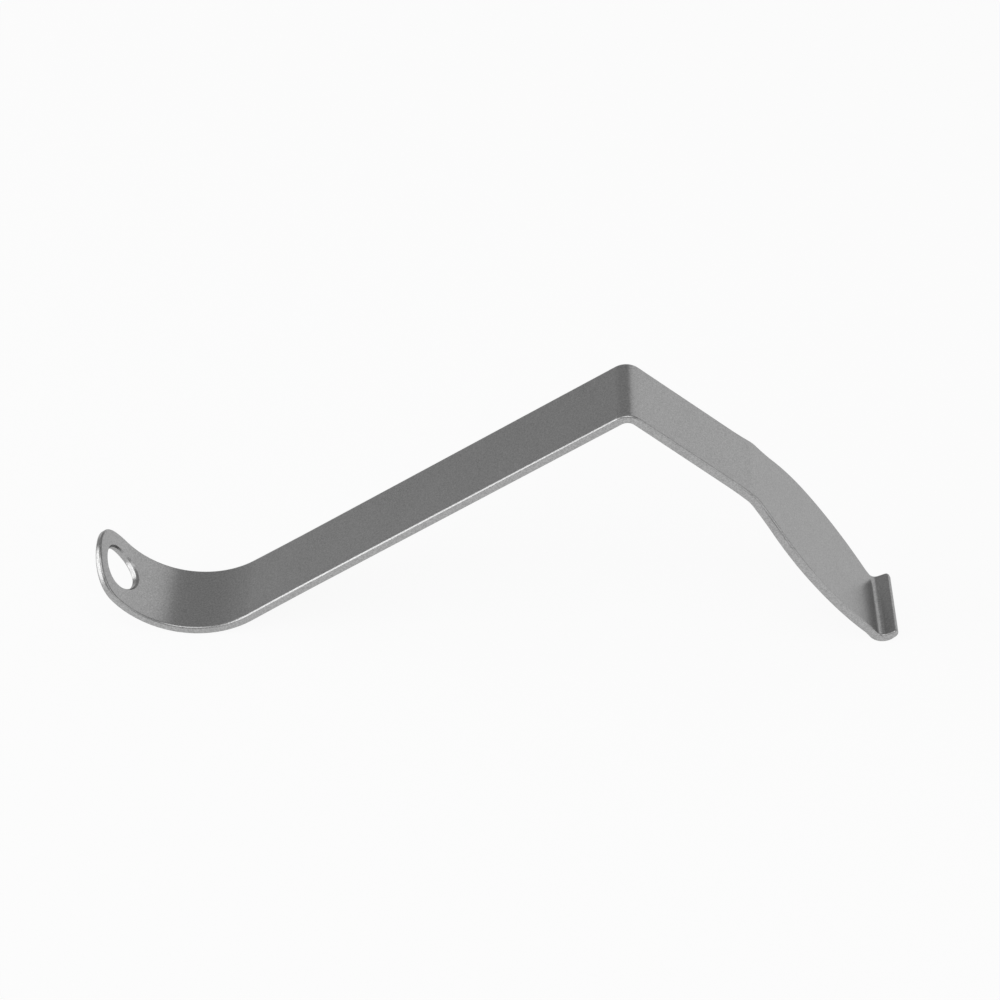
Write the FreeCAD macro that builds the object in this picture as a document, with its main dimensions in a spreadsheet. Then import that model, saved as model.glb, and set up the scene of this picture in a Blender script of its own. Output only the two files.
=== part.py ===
import FreeCAD, Part
import math
import os
import Sketcher

# A handheld surgical retractor: one steel strip, cut to its outline, bent, drilled and polished.
# It is drawn in the frame of its handle: the origin is on the axis of the bend between handle and blade,
# +X runs along the handle towards the blade, +Y across the strip and +Z out of the handle's upper face.
# Last of all it is set down as it rests, on two low lines: the curl's underside and the lip's heel.

DIMENSIONS = [
    ("handle_length", 112.6, "straight run of the handle, between the curl and the peak bend"),
    ("handle_width", 21.0, "width of the handle's parallel sides"),
    ("handle_thickness", 2.3, "thickness of the handle"),
    ("curl_radius", 23.3, "inside radius of the curled end"),
    ("ring_turn", 90.0, "angle turned by the curl at the centre of its round tip, in degrees"),
    ("ring_thickness", 2.0, "thickness of the curled end where it has turned a right angle"),
    ("ring_flare", 0.5, "how far the curled end reaches past each side of the handle"),
    ("ring_straight", 3.4, "how far short of the curl's outermost point its sides are parallel again"),
    ("flare_lead", 22.7, "length of straight handle that is already widening, before the curl"),
    ("hole_diameter", 11.8, "hole through the curled end"),
    ("hole_lead", 0.65, "how far the hole's middle lies beyond the centre of the round tip, along the curl"),
    ("peak_radius", 2.4, "inside radius of the bend between the handle and the blade"),
    ("peak_bend", 73.8, "angle turned by the bend between the handle and the blade, in degrees"),
    ("upper_run", 36.6, "straight length of the blade's first run"),
    ("knee_radius", 8.0, "inside radius of the blade's second bend"),
    ("knee_bend", 14.1, "angle turned by the blade's second bend, in degrees"),
    ("lower_run", 53.7, "straight length of the blade's second run"),
    ("blade_thickness", 2.4, "thickness of the blade at its second bend and at the lip's bend"),
    ("blade_flare", 5.6, "how far the blade reaches past each side of the handle where it is widest"),
    ("shoulder_depth", 27.8, "depth below the peak bend's axis at which the blade starts to flare"),
    ("widest_depth", 61.1, "depth below the peak bend's axis at which the blade is widest"),
    ("waist_radius", 8.0, "radius in the outline where the blade's taper meets the lip's sides"),
    ("lip_width", 22.8, "width of the lip"),
    ("lip_radius", 1.7, "inside radius of the lip's bend"),
    ("lip_bend", 79.0, "angle turned by the lip's bend, in degrees"),
    ("lip_length", 3.0, "straight length of the lip"),
    ("lip_thickness", 1.6, "thickness of the lip at its free edge"),
    ("corner_radius", 1.1, "radius of the lip's two corners"),
    ("edge_radius", 0.55, "rounding of the outline's edges"),
    ("hole_chamfer", 0.45, "chamfer of the hole's two edges"),
    ("cut_margin", 4.0, "how far each cutting outline reaches past the metal that it removes"),
]

HALF_HANDLE = "Dimensions.handle_width / 2"
HALF_RING = "(Dimensions.handle_width / 2 + Dimensions.ring_flare)"
HALF_BLADE = "(Dimensions.handle_width / 2 + Dimensions.blade_flare)"
HALF_LIP = "Dimensions.lip_width / 2"
HALF_STOCK = f"max({HALF_RING}; {HALF_BLADE}; {HALF_LIP})"
OUTSIDE = f"{HALF_STOCK} + Dimensions.cut_margin"
CURL_HEIGHT = "Dimensions.peak_radius + Dimensions.handle_thickness + Dimensions.curl_radius"
RING_TURN = "Dimensions.ring_turn"
HOLE_TURN = "Dimensions.ring_turn + Dimensions.hole_lead / Dimensions.curl_radius * 1 rad / 1 deg"
TIP_REACH = f"({HALF_RING} + Dimensions.cut_margin)"
CURL_TURN = f"Dimensions.ring_turn * 1 deg + asin({TIP_REACH} / Dimensions.curl_radius)"

START, END, CENTRE = range(1, 4)  # a sketch's numbers for the points of a line or an arc
UPRIGHT, ORIGIN = range(-2, 0)  # its numbers for its vertical axis and for its origin, which has a START
SHARP_ANGLE = 12.0  # degrees between two faces, above which the edge between them is sharp


def make_sheet(document):
    """The driving dimensions, one to a row: a description, and the value under its own name."""
    sheet = document.addObject("Spreadsheet::Sheet", "Dimensions")
    for row, (name, value, description) in enumerate(DIMENSIONS, start=1):
        sheet.set(f"A{row}", description)
        sheet.set(f"B{row}", str(value))
        sheet.setAlias(f"B{row}", name)
    document.recompute()
    return sheet


def new_sketch(body, name, role):
    """An empty sketch on one of the body's own origin planes."""
    sketch = body.newObject("Sketcher::SketchObject", name)
    plane = next(item for item in body.Origin.OriginFeatures if item.Role == role)
    sketch.AttachmentSupport = [(plane, "")]
    sketch.MapMode = "FlatFace"
    return sketch


def new_ring_sketch(body, name, turn):
    """An empty sketch about the curl's centre, square to its radius at a turn given by a formula."""
    sketch = new_sketch(body, name, "YZ_Plane")
    across = FreeCAD.Vector(1, 0, 0)
    sketch.AttachmentOffset = FreeCAD.Placement(FreeCAD.Vector(), FreeCAD.Rotation(across, 1))
    sketch.setExpression("AttachmentOffset.Base.y", CURL_HEIGHT)
    sketch.setExpression("AttachmentOffset.Base.z", "-Dimensions.handle_length")
    sketch.setExpression("AttachmentOffset.Rotation.Angle", f"{turn} - 90")
    body.Document.recompute()
    return sketch


def fix(sketch, *terms):
    """Adds one constraint and returns its number."""
    return sketch.addConstraint(Sketcher.Constraint(*terms))


def bind(sketch, name, formula, *terms):
    """Adds a named length or radius, tied to a formula of the dimensions."""
    index = fix(sketch, *terms, float(sketch.evalExpression(formula)))
    sketch.renameConstraint(index, name)
    sketch.setExpression(f"Constraints.{name}", formula)


def bind_angle(sketch, name, formula, arc):
    """Adds the named angle that an arc turns, tied to a formula that gives degrees."""
    index = fix(sketch, "Angle", arc, math.radians(sketch.evalExpression(formula).Value))
    sketch.renameConstraint(index, name)
    sketch.setExpression(f"Constraints.{name}", formula)


def vector(x, y):
    """A point or a direction in a sketch."""
    return FreeCAD.Vector(x, y, 0)


def arc_between(centre, first, second):
    """The shorter arc about a centre between two points, running anticlockwise."""
    low, high = (math.atan2(point.y - centre.y, point.x - centre.x) for point in (first, second))
    if (high - low) % (2 * math.pi) > math.pi:
        low, high = high, low
    circle = Part.Circle(centre, FreeCAD.Vector(0, 0, 1), (first - centre).Length)
    return Part.ArcOfCircle(circle, low, low + (high - low) % (2 * math.pi))


def lines_through(*points):
    """Straight pieces from each point to the next."""
    return [Part.LineSegment(one, other) for one, other in zip(points, points[1:])]


def s_curve(start, end, outward):
    """Two equal arcs that carry an outline outwards, leaving and arriving square to that direction."""
    chord = end - start
    radius = chord.Length**2 / (4 * chord.dot(outward))
    middle = (start + end) / 2
    return [
        arc_between(start + outward * radius, start, middle),
        arc_between(end - outward * radius, middle, end),
    ]


def join(sketch, first, second, kind):
    """Ties the two ends that lie nearest each other, by a Coincident or a Tangent constraint."""
    pairs = [(one, other) for one in (START, END) for other in (START, END)]

    def gap(pair):
        return sketch.getPoint(first, pair[0]).distanceToPoint(sketch.getPoint(second, pair[1]))

    one, other = min(pairs, key=gap)
    fix(sketch, kind, first, one, second, other)


def add_outline(sketch, pieces, smooth, closed=True):
    """Adds pieces in order and joins each to the next. The first joints, as many as smooth, are tangent."""
    numbers = [sketch.addGeometry(piece, False) for piece in pieces]
    followers = numbers[1:] + (numbers[:1] if closed else [])
    for place, (number, follower) in enumerate(zip(numbers, followers)):
        join(sketch, number, follower, "Tangent" if place < smooth else "Coincident")
    return numbers


def strip_side(sheet, curl_turn, offset):
    """One side of the bent strip, from the ring to the lip, as lines and arcs near their final places.

    The upper side has offset 0, and the lower side lies an offset below it.
    """
    bends_and_runs = [
        (sheet.curl_radius + offset, curl_turn),
        (sheet.handle_length, 0),
        (sheet.peak_radius + sheet.handle_thickness - offset, -sheet.peak_bend),
        (sheet.upper_run, 0),
        (sheet.knee_radius + sheet.handle_thickness - offset, -sheet.knee_bend),
        (sheet.lower_run, 0),
        (sheet.lip_radius + offset, sheet.lip_bend),
        (sheet.lip_length, 0),
    ]
    heading = -math.radians(curl_turn)
    centre = vector(-sheet.handle_length, sheet.peak_radius + sheet.handle_thickness + sheet.curl_radius)
    point = centre + vector(math.sin(heading), -math.cos(heading)) * (sheet.curl_radius + offset)
    pieces = []
    for size, turn in bends_and_runs:
        if turn:
            inward = math.copysign(size, turn)
            centre = point + vector(-math.sin(heading), math.cos(heading)) * inward
            heading += math.radians(turn)
            after = centre - vector(-math.sin(heading), math.cos(heading)) * inward
            pieces.append(arc_between(centre, point, after))
        else:
            after = point + vector(math.cos(heading), math.sin(heading)) * size
            pieces.append(Part.LineSegment(point, after))
        point = after
    return pieces


def draw_profile(body, sheet):
    """The bent strip seen from its side: two chains of tangent lines and arcs, closed at both ends."""
    sketch = new_sketch(body, "Profile", "XZ_Plane")
    curl_turn = sketch.evalExpression(CURL_TURN).Value
    upper = strip_side(sheet, curl_turn, 0)
    lower = strip_side(sheet, curl_turn, sheet.handle_thickness)
    curl, handle, peak, upper_run, knee, lower_run, heel, lip = add_outline(sketch, upper, 7, closed=False)
    low_numbers = add_outline(sketch, lower, 7, closed=False)
    low_curl, low_handle, low_peak, _, low_knee, _, low_heel, low_lip = low_numbers
    caps = []
    for top, bottom, end in ((curl, low_curl, START), (lip, low_lip, END)):
        line = Part.LineSegment(sketch.getPoint(top, end), sketch.getPoint(bottom, end))
        cap = sketch.addGeometry(line, False)
        fix(sketch, "Coincident", cap, START, top, end)
        fix(sketch, "Coincident", cap, END, bottom, end)
        caps.append(cap)
    ring_cap, lip_cap = caps

    # the handle is level, and the peak bend turns about the origin
    fix(sketch, "Horizontal", handle)
    fix(sketch, "Horizontal", low_handle)
    fix(sketch, "Vertical", handle, START, low_handle, START)
    fix(sketch, "Coincident", peak, CENTRE, ORIGIN, START)
    fix(sketch, "Coincident", low_peak, CENTRE, ORIGIN, START)
    bind(sketch, "peak_inside", "Dimensions.peak_radius", "Radius", low_peak)
    bind(sketch, "peak_outside", "Dimensions.peak_radius + Dimensions.handle_thickness", "Radius", peak)
    bind(sketch, "handle_length", "Dimensions.handle_length", "Distance", handle)

    # the curl's two arcs have centres of their own, so that the metal thins towards the ring
    bind(sketch, "curl_inside", "Dimensions.curl_radius", "Radius", curl)
    bind(sketch, "curl_outside", "Dimensions.curl_radius + Dimensions.ring_thickness", "Radius", low_curl)
    bind_angle(sketch, "curl_turn", CURL_TURN, curl)
    fix(sketch, "PointOnObject", curl, CENTRE, ring_cap)

    # the blade and its two bends
    bind_angle(sketch, "peak_bend", "Dimensions.peak_bend * 1 deg", peak)
    bind(sketch, "upper_run", "Dimensions.upper_run", "Distance", upper_run)
    fix(sketch, "Coincident", knee, CENTRE, low_knee, CENTRE)
    bind(sketch, "knee_inside", "Dimensions.knee_radius", "Radius", low_knee)
    bind(sketch, "knee_outside", "Dimensions.knee_radius + Dimensions.blade_thickness", "Radius", knee)
    bind_angle(sketch, "knee_bend", "Dimensions.knee_bend * 1 deg", knee)
    bind(sketch, "lower_run", "Dimensions.lower_run", "Distance", lower_run)

    # the lip
    fix(sketch, "Coincident", heel, CENTRE, low_heel, CENTRE)
    bind(sketch, "lip_inside", "Dimensions.lip_radius", "Radius", heel)
    bind(sketch, "lip_outside", "Dimensions.lip_radius + Dimensions.blade_thickness", "Radius", low_heel)
    bind_angle(sketch, "lip_bend", "Dimensions.lip_bend * 1 deg", heel)
    bind(sketch, "lip_length", "Dimensions.lip_length", "Distance", lip)
    bind(sketch, "lip_thickness", "Dimensions.lip_thickness", "Distance", lip_cap)
    fix(sketch, "Perpendicular", lip, lip_cap)

    # how deep the lip's bend starts, measured here for the blade's outline
    depth = fix(sketch, "DistanceY", heel, START, ORIGIN, START, -sketch.getPoint(heel, START).y)
    sketch.setDriving(depth, False)
    sketch.renameConstraint(depth, "heel_depth")
    return sketch, low_curl, low_heel, lip_cap


def draw_handle_side(body, sheet):
    """What is cut from one side of the handle and the curl, seen from above.

    The handle's side is straight, an S-curve carries it out, and the ring's side is parallel to it again.
    """
    sketch = new_sketch(body, "HandleSide", "XY_Plane")
    half_handle = float(sketch.evalExpression(HALF_HANDLE))
    half_ring = float(sketch.evalExpression(HALF_RING))
    outside = float(sketch.evalExpression(OUTSIDE))
    flare = vector(sheet.flare_lead - sheet.handle_length, half_handle)
    ring = vector(sheet.ring_straight - sheet.curl_radius - sheet.handle_length, half_ring)
    back = -sheet.handle_length - sheet.curl_radius - sheet.ring_thickness - sheet.cut_margin
    pieces = [
        *lines_through(vector(0, half_handle), flare),
        *s_curve(flare, ring, vector(0, 1)),
        *lines_through(
            ring,
            vector(back, half_ring),
            vector(back, outside),
            vector(0, outside),
            vector(0, half_handle),
        ),
    ]
    side, leave, arrive, ring_side, behind, beyond, front = add_outline(sketch, pieces, smooth=3)
    for line in (side, ring_side, beyond):
        fix(sketch, "Horizontal", line)
    fix(sketch, "Vertical", behind)
    fix(sketch, "Vertical", front)
    fix(sketch, "Equal", leave, arrive)
    fix(sketch, "PointOnObject", side, START, UPRIGHT)
    curl_end = "Dimensions.handle_length + Dimensions.curl_radius"
    flare_start = "Dimensions.handle_length - Dimensions.flare_lead"
    flare_end = f"{curl_end} - Dimensions.ring_straight"
    reach = f"{curl_end} + Dimensions.ring_thickness + Dimensions.cut_margin"
    bind(sketch, "half_handle", HALF_HANDLE, "DistanceY", ORIGIN, START, side, START)
    bind(sketch, "half_ring", HALF_RING, "DistanceY", ORIGIN, START, ring_side, START)
    bind(sketch, "outside", OUTSIDE, "DistanceY", ORIGIN, START, beyond, START)
    bind(sketch, "flare_start", flare_start, "DistanceX", side, END, ORIGIN, START)
    bind(sketch, "flare_end", flare_end, "DistanceX", ring_side, START, ORIGIN, START)
    bind(sketch, "reach", reach, "DistanceX", behind, START, ORIGIN, START)
    return sketch


def draw_blade_side(body, sheet, profile):
    """What is cut from one side of the blade and the lip, seen along the handle.

    The blade starts as wide as the handle, an S-curve carries it out to its widest, one arc brings it in
    again, and a small arc runs into the lip's straight side.
    """
    sketch = new_sketch(body, "BladeSide", "YZ_Plane")
    half_handle = float(sketch.evalExpression(HALF_HANDLE))
    half_blade = float(sketch.evalExpression(HALF_BLADE))
    half_lip = float(sketch.evalExpression(HALF_LIP))
    outside = float(sketch.evalExpression(OUTSIDE))
    heel_depth = profile.getDatum("heel_depth").Value
    top = sheet.peak_radius + sheet.handle_thickness + sheet.cut_margin
    bottom = heel_depth + sheet.lip_radius + sheet.blade_thickness + sheet.lip_length + sheet.cut_margin
    shoulder = vector(half_handle, -sheet.shoulder_depth)
    widest = vector(half_blade, -sheet.widest_depth)
    lip_start = vector(half_lip, -heel_depth)
    narrowing = lip_start - widest
    centres_apart = narrowing.Length**2 / (-2 * narrowing.x)
    waist_centre = lip_start + vector(sheet.waist_radius, 0)
    taper_centre = widest - vector(centres_apart - sheet.waist_radius, 0)
    waist = waist_centre + (taper_centre - waist_centre) * (sheet.waist_radius / centres_apart)
    pieces = [
        *lines_through(vector(half_handle, top), shoulder),
        *s_curve(shoulder, widest, vector(1, 0)),
        arc_between(taper_centre, widest, waist),
        arc_between(waist_centre, waist, lip_start),
        *lines_through(
            lip_start,
            vector(half_lip, -bottom),
            vector(outside, -bottom),
            vector(outside, top),
            vector(half_handle, top),
        ),
    ]
    numbers = add_outline(sketch, pieces, smooth=5)
    side, leave, arrive, taper, waist_arc, lip_side, below, beyond, above = numbers
    for line in (side, lip_side, beyond):
        fix(sketch, "Vertical", line)
    fix(sketch, "Horizontal", below)
    fix(sketch, "Horizontal", above)
    fix(sketch, "Equal", leave, arrive)
    fix(sketch, "Horizontal", taper, CENTRE, taper, END)
    above_bend = "Dimensions.peak_radius + Dimensions.handle_thickness + Dimensions.cut_margin"
    heel = "Profile.Constraints.heel_depth / 1 mm"
    lip_reach = "Dimensions.lip_radius + Dimensions.blade_thickness + Dimensions.lip_length"
    below_lip = f"{heel} + {lip_reach} + Dimensions.cut_margin"
    bind(sketch, "half_handle", HALF_HANDLE, "DistanceX", ORIGIN, START, side, START)
    bind(sketch, "above", above_bend, "DistanceY", ORIGIN, START, side, START)
    bind(sketch, "shoulder_depth", "Dimensions.shoulder_depth", "DistanceY", side, END, ORIGIN, START)
    bind(sketch, "half_blade", HALF_BLADE, "DistanceX", ORIGIN, START, taper, END)
    bind(sketch, "widest_depth", "Dimensions.widest_depth", "DistanceY", taper, END, ORIGIN, START)
    bind(sketch, "waist_radius", "Dimensions.waist_radius", "Radius", waist_arc)
    bind(sketch, "half_lip", HALF_LIP, "DistanceX", ORIGIN, START, lip_side, START)
    bind(sketch, "lip_start", heel, "DistanceY", lip_side, START, ORIGIN, START)
    bind(sketch, "below", below_lip, "DistanceY", lip_side, END, ORIGIN, START)
    bind(sketch, "outside", OUTSIDE, "DistanceX", ORIGIN, START, beyond, START)
    return sketch


def draw_round_tip(body, sheet):
    """What is cut away round the ring's tip: an arch about the radius at the tip's own turn."""
    sketch = new_ring_sketch(body, "RoundTip", RING_TURN)
    half_ring = float(sketch.evalExpression(HALF_RING))
    outside = float(sketch.evalExpression(OUTSIDE))
    top = half_ring + 2 * sheet.cut_margin
    centre = vector(0, 0)
    pieces = [
        arc_between(centre, vector(half_ring, 0), vector(0, half_ring)),
        arc_between(centre, vector(0, half_ring), vector(-half_ring, 0)),
        *lines_through(
            vector(-half_ring, 0),
            vector(-outside, 0),
            vector(-outside, top),
            vector(outside, top),
            vector(outside, 0),
            vector(half_ring, 0),
        ),
    ]
    numbers = add_outline(sketch, pieces, smooth=1)
    right, left, left_foot, left_side, above, right_side, right_foot = numbers
    for line in (left_foot, above, right_foot):
        fix(sketch, "Horizontal", line)
    fix(sketch, "Vertical", left_side)
    fix(sketch, "Vertical", right_side)
    fix(sketch, "Coincident", right, CENTRE, ORIGIN, START)
    fix(sketch, "PointOnObject", right, END, UPRIGHT)
    fix(sketch, "Horizontal", right, CENTRE, right, START)
    fix(sketch, "Horizontal", left, CENTRE, left, END)
    fix(sketch, "Equal", right, left)
    bind(sketch, "half_ring", HALF_RING, "Radius", right)
    height = f"{HALF_RING} + 2 * Dimensions.cut_margin"
    bind(sketch, "above", height, "DistanceY", right, CENTRE, above, END)
    bind(sketch, "outside_left", OUTSIDE, "DistanceX", above, START, ORIGIN, START)
    bind(sketch, "outside_right", OUTSIDE, "DistanceX", ORIGIN, START, above, END)
    return sketch


def draw_hole(body, sheet):
    """The hole's circle, about the radius at the hole's turn."""
    sketch = new_ring_sketch(body, "HoleCircle", HOLE_TURN)
    upward = FreeCAD.Vector(0, 0, 1)
    circle = sketch.addGeometry(Part.Circle(vector(0, 0), upward, sheet.hole_diameter / 2), False)
    fix(sketch, "Coincident", circle, CENTRE, ORIGIN, START)
    bind(sketch, "radius", "Dimensions.hole_diameter / 2", "Radius", circle)
    return sketch


def cut_through(body, name, sketch, reversed_direction):
    """Cuts a sketch through everything on one side of its plane, and checks that metal was removed."""
    before = body.Shape.Volume
    pocket = body.newObject("PartDesign::Pocket", name)
    pocket.Profile = sketch
    pocket.Type = "ThroughAll"
    pocket.Reversed = reversed_direction
    body.Document.recompute()
    if not body.Shape.Volume < before:
        raise ValueError(f"{name} removed nothing")
    return pocket


def sharp_edges(shape):
    """The edges whose two faces meet at a clear angle, each with its name and its faces."""
    found = []
    for number, edge in enumerate(shape.Edges, start=1):
        faces = shape.ancestorsOfType(edge, Part.Face)
        if len(faces) != 2:
            continue
        middle = edge.valueAt((edge.FirstParameter + edge.LastParameter) / 2)
        normals = [face.normalAt(*face.Surface.parameter(middle)) for face in faces]
        if math.degrees(normals[0].getAngle(normals[1])) > SHARP_ANGLE:
            found.append((f"Edge{number}", edge, faces))
    return found


def rims_and_others(shape, bore_radius):
    """The sharp edges' names, each with whether it is a rim of the hole."""
    return [
        (name, any(is_bore(face, bore_radius) for face in faces))
        for name, _, faces in sharp_edges(shape)
    ]


def is_bore(face, radius):
    """Whether a face is the hole's wall: a cylinder of its radius that runs square to the strip's width."""
    surface = face.Surface
    if not isinstance(surface, Part.Cylinder):
        return False
    return abs(surface.Axis.y) < abs(surface.Axis.x) and math.isclose(surface.Radius, radius)


def corner_edges(shape, profile, lip_cap):
    """The names of the short edges at the two ends of the lip's end face, which the profile's cap lies in."""
    cap = profile.Geometry[lip_cap]
    middle = (cap.StartPoint + cap.EndPoint) / 2
    spot = Part.Vertex(FreeCAD.Vector(middle.x, 0, middle.y))
    lip_end = min(shape.Faces, key=lambda face: face.distToShape(spot)[0])
    ends = []
    for name, edge, faces in sharp_edges(shape):
        along = edge.tangentAt(edge.FirstParameter)
        if any(face.isSame(lip_end) for face in faces) and abs(along.y) < abs(along.z):
            ends.append(name)
    return ends


def soften(body, kind, name, edges, dimension):
    """Rounds or chamfers the named edges of the body's last feature, as far as one of the dimensions says."""
    base = body.Tip
    feature = body.newObject(f"PartDesign::{kind}", name)
    feature.Base = (base, edges)
    reach = {"Fillet": "Radius", "Chamfer": "Size"}[kind]
    feature.setExpression(reach, f"Dimensions.{dimension}")
    body.Document.recompute()


def set_down(body, profile, low_curl, low_heel):
    """Turns and moves the body to rest on its two low lines, centred above the origin.

    The floor is the line that touches the curl's outer arc and the heel's outer arc from below.
    """
    curl, heel = (profile.Geometry[number] for number in (low_curl, low_heel))
    apart = heel.Center - curl.Center
    slope = math.atan2(apart.y, apart.x) - math.asin((heel.Radius - curl.Radius) / apart.Length)
    turn = FreeCAD.Rotation(FreeCAD.Vector(0, 1, 0), math.degrees(slope))
    body.Placement = FreeCAD.Placement(FreeCAD.Vector(), turn)
    bounds = body.Shape.optimalBoundingBox(False)
    centre = FreeCAD.Vector(bounds.Center.x, 0, bounds.ZMin)
    body.Placement = FreeCAD.Placement(-centre, turn)


def make_retractor(document, sheet):
    """The whole instrument, as one body."""
    body = document.addObject("PartDesign::Body", "Retractor")
    body.Label = "retractor"
    profile, low_curl, low_heel, lip_cap = draw_profile(body, sheet)
    strip = body.newObject("PartDesign::Pad", "Strip")
    strip.Profile = profile
    strip.SideType = "Symmetric"
    strip.setExpression("Length", f"2 * {HALF_STOCK}")
    document.recompute()

    handle_side = cut_through(body, "HandleSideCut", draw_handle_side(body, sheet), True)
    blade_side = cut_through(body, "BladeSideCut", draw_blade_side(body, sheet, profile), True)
    other_side = body.newObject("PartDesign::Mirrored", "OtherSide")
    other_side.Originals = [handle_side, blade_side]
    plane = next(item for item in body.Origin.OriginFeatures if item.Role == "XZ_Plane")
    other_side.MirrorPlane = (plane, [""])
    body.Tip = other_side
    document.recompute()
    cut_through(body, "RoundTipCut", draw_round_tip(body, sheet), False)
    cut_through(body, "HangingHole", draw_hole(body, sheet), False)

    corners = corner_edges(body.Tip.Shape, profile, lip_cap)
    soften(body, "Fillet", "LipCorners", corners, "corner_radius")
    bore_radius = sheet.hole_diameter / 2
    outline = [name for name, meets_bore in rims_and_others(body.Tip.Shape, bore_radius) if not meets_bore]
    soften(body, "Fillet", "OutlineEdges", outline, "edge_radius")
    rims = [name for name, meets_bore in rims_and_others(body.Tip.Shape, bore_radius) if meets_bore]
    soften(body, "Chamfer", "HoleRims", rims, "hole_chamfer")
    set_down(body, profile, low_curl, low_heel)
    return body


def main():
    document = FreeCAD.newDocument("retractor")
    sheet = make_sheet(document)
    body = make_retractor(document, sheet)
    document.recompute()
    for item in document.Objects:
        if "Invalid" in item.State or "Error" in item.State:
            raise ValueError(f"{item.Name} failed: {item.State}")
    if body.Shape.isNull() or not body.Shape.isValid():
        raise ValueError("the retractor has no valid shape")
    os.makedirs("parts", exist_ok=True)
    body.Shape.exportStep(f"parts/{body.Label}.step")


main()
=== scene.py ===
"""Looks of the handheld retractor: satin stainless steel, a pale floor and soft studio light."""

import math

import bpy
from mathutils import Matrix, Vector

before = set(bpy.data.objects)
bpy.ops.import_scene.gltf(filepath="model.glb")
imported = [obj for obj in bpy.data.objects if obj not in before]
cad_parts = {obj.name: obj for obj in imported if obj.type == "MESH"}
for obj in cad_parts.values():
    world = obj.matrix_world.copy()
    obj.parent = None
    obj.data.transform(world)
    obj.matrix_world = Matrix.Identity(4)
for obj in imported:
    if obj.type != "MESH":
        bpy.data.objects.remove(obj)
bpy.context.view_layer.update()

MM = 0.001

# the photograph's camera, found by fitting the strip's outlines: it looks at a point below the tight bend
LOOK_AT = Vector((0.40, 0.0, 36.58)) * MM
CAMERA_DISTANCE = 668.64 * MM
CAMERA_ELEVATION = math.radians(40.0)
CAMERA_YAW = math.radians(0.83)
LENS = 96.28
SENSOR = 36.0
NEAREST_SEEN = 0.01
FARTHEST_SEEN = 100.0

FLOOR_SIZE = 12.0
FLOOR_COLOUR = (0.86, 0.86, 0.86, 1.0)
FLOOR_ROUGHNESS = 0.9
FLOOR_SHINE = 0.1
WHITE = (1.0, 1.0, 1.0, 1.0)
GLOW_SEEN = 0.92  # the share of plain white in the floor that the camera sees, the rest is lit and shadowed
GLOW_MIRRORED = 0.70  # the same share in the floor that the steel mirrors
ROOM_COLOUR = (0.33, 0.33, 0.33, 1.0)

# soft boxes: name, middle, aim, width and height in metres, then watts
SOFT_BOXES = [
    ("top_box", (0.0, -0.70, 1.20), (0.0, -0.25, 0.0), (1.1, 1.1), 5.0),
    ("left_box", (-1.26, -0.36, 0.50), (0.0, 0.0, 0.03), (2.2, 1.0), 13.0),
    ("front_panel", (1.18, -0.55, 0.42), (0.0, 0.0, 0.03), (1.6, 0.8), 2.3),
    ("right_panel", (0.90, 1.10, 0.52), (0.05, 0.0, 0.03), (1.2, 1.1), 1.9),
    ("back_panel", (-1.00, 1.25, 0.40), (-0.05, 0.0, 0.03), (1.0, 0.8), 0.12),
]

STEEL_DARK = (0.34, 0.34, 0.34, 1.0)
STEEL_LIGHT = (0.50, 0.50, 0.50, 1.0)
STEEL_RIM = (0.75, 0.75, 0.75, 1.0)  # steel mirrors less at a slant
ROUGHNESS_LOW = 0.27
ROUGHNESS_HIGH = 0.31
CLOUD_SCALE = 90.0  # soft clouds of about a centimetre
CLOUD_DETAIL = 3.0
GRAIN_SCALE = 2600.0  # blasted grain of about 0.4 mm
GRAIN_DETAIL = 2.0
GRAIN_HEIGHT = 0.010 * MM
NOISE_LOW = 0.3  # nearly all of a noise lies between these two values
NOISE_HIGH = 0.7


def link(tree, source, target):
    """Joins an output socket to an input socket."""
    tree.links.new(source, target)


def new_node(tree, kind, **settings):
    """A shader node with its properties set by name."""
    node = tree.nodes.new(kind)
    for name, value in settings.items():
        setattr(node, name, value)
    return node


def make_camera():
    """The camera at the photograph's place, raised by forty degrees and seen almost square from the side."""
    back = Vector(
        (
            math.sin(CAMERA_YAW) * math.cos(CAMERA_ELEVATION),
            -math.cos(CAMERA_YAW) * math.cos(CAMERA_ELEVATION),
            math.sin(CAMERA_ELEVATION),
        )
    )
    data = bpy.data.cameras.new("camera")
    data.lens = LENS
    data.sensor_width = SENSOR
    data.clip_start = NEAREST_SEEN
    data.clip_end = FARTHEST_SEEN
    camera = bpy.data.objects.new("camera", data)
    bpy.context.scene.collection.objects.link(camera)
    camera.location = LOOK_AT + back * CAMERA_DISTANCE
    camera.rotation_mode = "QUATERNION"
    camera.rotation_quaternion = (-back).to_track_quat("-Z", "Y")
    bpy.context.scene.camera = camera


def make_light(name, place, aim, size, power):
    """A soft box at a place, turned towards the point that it is aimed at."""
    data = bpy.data.lights.new(name, "AREA")
    data.shape = "RECTANGLE"
    data.size, data.size_y = size
    data.energy = power
    light = bpy.data.objects.new(name, data)
    bpy.context.scene.collection.objects.link(light)
    light.location = place
    light.rotation_mode = "QUATERNION"
    light.rotation_quaternion = (Vector(aim) - Vector(place)).to_track_quat("-Z", "Y")


def make_room():
    """A dim grey room around the soft boxes."""
    world = bpy.data.worlds.new("room")
    bpy.context.scene.world = world
    world.use_nodes = True
    tree = world.node_tree
    tree.nodes.clear()
    room = new_node(tree, "ShaderNodeBackground")
    room.inputs["Color"].default_value = ROOM_COLOUR
    output = new_node(tree, "ShaderNodeOutputWorld")
    link(tree, room.outputs["Background"], output.inputs["Surface"])


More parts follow.
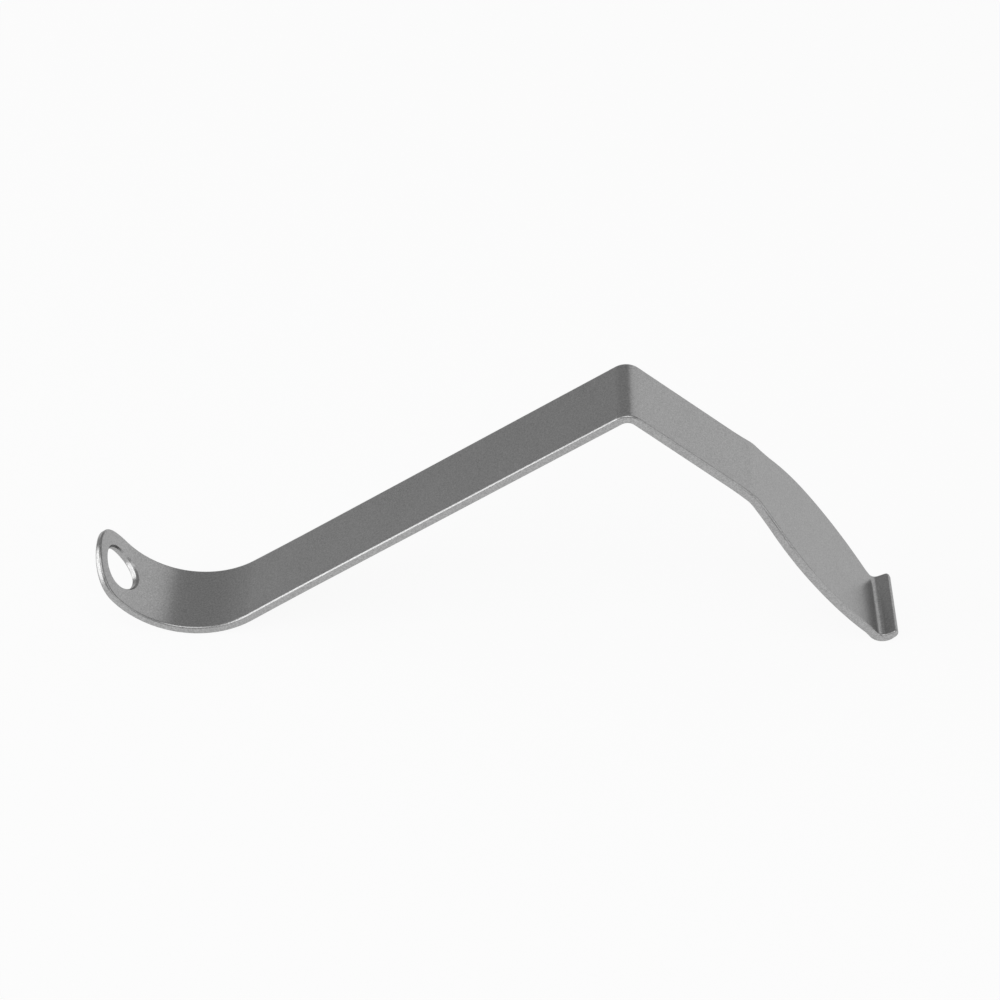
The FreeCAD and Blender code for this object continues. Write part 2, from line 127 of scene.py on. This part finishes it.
def make_floor_material():
    """A matt white floor, seen and mirrored as mostly plain white, with a part of the shadow kept."""
    material = bpy.data.materials.new("floor_white")
    material.use_nodes = True
    tree = material.node_tree
    shader = tree.nodes["Principled BSDF"]
    shader.inputs["Base Color"].default_value = FLOOR_COLOUR
    shader.inputs["Roughness"].default_value = FLOOR_ROUGHNESS
    shader.inputs["Specular IOR Level"].default_value = FLOOR_SHINE
    glow = new_node(tree, "ShaderNodeEmission")
    glow.inputs["Color"].default_value = WHITE
    glow.inputs["Strength"].default_value = 1.0
    ray = new_node(tree, "ShaderNodeLightPath")
    seen = new_node(tree, "ShaderNodeMath", operation="MULTIPLY")
    link(tree, ray.outputs["Is Camera Ray"], seen.inputs[0])
    seen.inputs[1].default_value = GLOW_SEEN
    share = new_node(tree, "ShaderNodeMath", operation="MULTIPLY_ADD")
    link(tree, ray.outputs["Is Glossy Ray"], share.inputs[0])
    share.inputs[1].default_value = GLOW_MIRRORED
    link(tree, seen.outputs["Value"], share.inputs[2])
    mix = new_node(tree, "ShaderNodeMixShader")
    link(tree, share.outputs["Value"], mix.inputs["Fac"])
    link(tree, shader.outputs["BSDF"], mix.inputs[1])
    link(tree, glow.outputs["Emission"], mix.inputs[2])
    link(tree, mix.outputs["Shader"], tree.nodes["Material Output"].inputs["Surface"])
    return material


def make_floor():
    """A wide plain floor at the level that the instrument rests on."""
    mesh = bpy.data.meshes.new("floor")
    half = FLOOR_SIZE / 2
    corners = [(-half, -half, 0), (half, -half, 0), (half, half, 0), (-half, half, 0)]
    mesh.from_pydata(corners, [], [(0, 1, 2, 3)])
    floor = bpy.data.objects.new("floor", mesh)
    bpy.context.scene.collection.objects.link(floor)
    mesh.materials.append(make_floor_material())


def noise(tree, place, scale, detail):
    """A noise texture at a place on the object."""
    texture = new_node(tree, "ShaderNodeTexNoise")
    texture.inputs["Scale"].default_value = scale
    texture.inputs["Detail"].default_value = detail
    link(tree, place, texture.inputs["Vector"])
    return texture.outputs["Fac"]


def spread(tree, value, low, high):
    """A noise value spread between two limits."""
    limits = new_node(tree, "ShaderNodeMapRange")
    limits.inputs["From Min"].default_value = NOISE_LOW
    limits.inputs["From Max"].default_value = NOISE_HIGH
    limits.inputs["To Min"].default_value = low
    limits.inputs["To Max"].default_value = high
    link(tree, value, limits.inputs["Value"])
    return limits.outputs["Result"]


def make_steel():
    """Satin stainless steel: evenly blasted, with faint clouds from handling and a fine grain."""
    material = bpy.data.materials.new("satin_steel")
    material.use_nodes = True
    tree = material.node_tree
    shader = tree.nodes["Principled BSDF"]
    shader.inputs["Metallic"].default_value = 1.0
    shader.inputs["Specular Tint"].default_value = STEEL_RIM
    place = new_node(tree, "ShaderNodeTexCoord").outputs["Object"]
    clouds = noise(tree, place, CLOUD_SCALE, CLOUD_DETAIL)
    grain = noise(tree, place, GRAIN_SCALE, GRAIN_DETAIL)

    colour = new_node(tree, "ShaderNodeMix", data_type="RGBA")
    colour.inputs["A"].default_value = STEEL_DARK
    colour.inputs["B"].default_value = STEEL_LIGHT
    link(tree, spread(tree, grain, 0.0, 1.0), colour.inputs["Factor"])
    link(tree, colour.outputs["Result"], shader.inputs["Base Color"])
    link(tree, spread(tree, clouds, ROUGHNESS_LOW, ROUGHNESS_HIGH), shader.inputs["Roughness"])

    bump = new_node(tree, "ShaderNodeBump")
    bump.inputs["Strength"].default_value = 1.0
    bump.inputs["Distance"].default_value = GRAIN_HEIGHT
    link(tree, grain, bump.inputs["Height"])
    link(tree, bump.outputs["Normal"], shader.inputs["Normal"])
    return material


def main():
    """The room with its camera and lamps, and the strip's steel."""
    bpy.context.scene.view_settings.view_transform = "Standard"
    make_camera()
    make_room()
    make_floor()
    for soft_box in SOFT_BOXES:
        make_light(*soft_box)
    steel = make_steel()
    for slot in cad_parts["retractor"].material_slots:
        slot.material = steel


main()
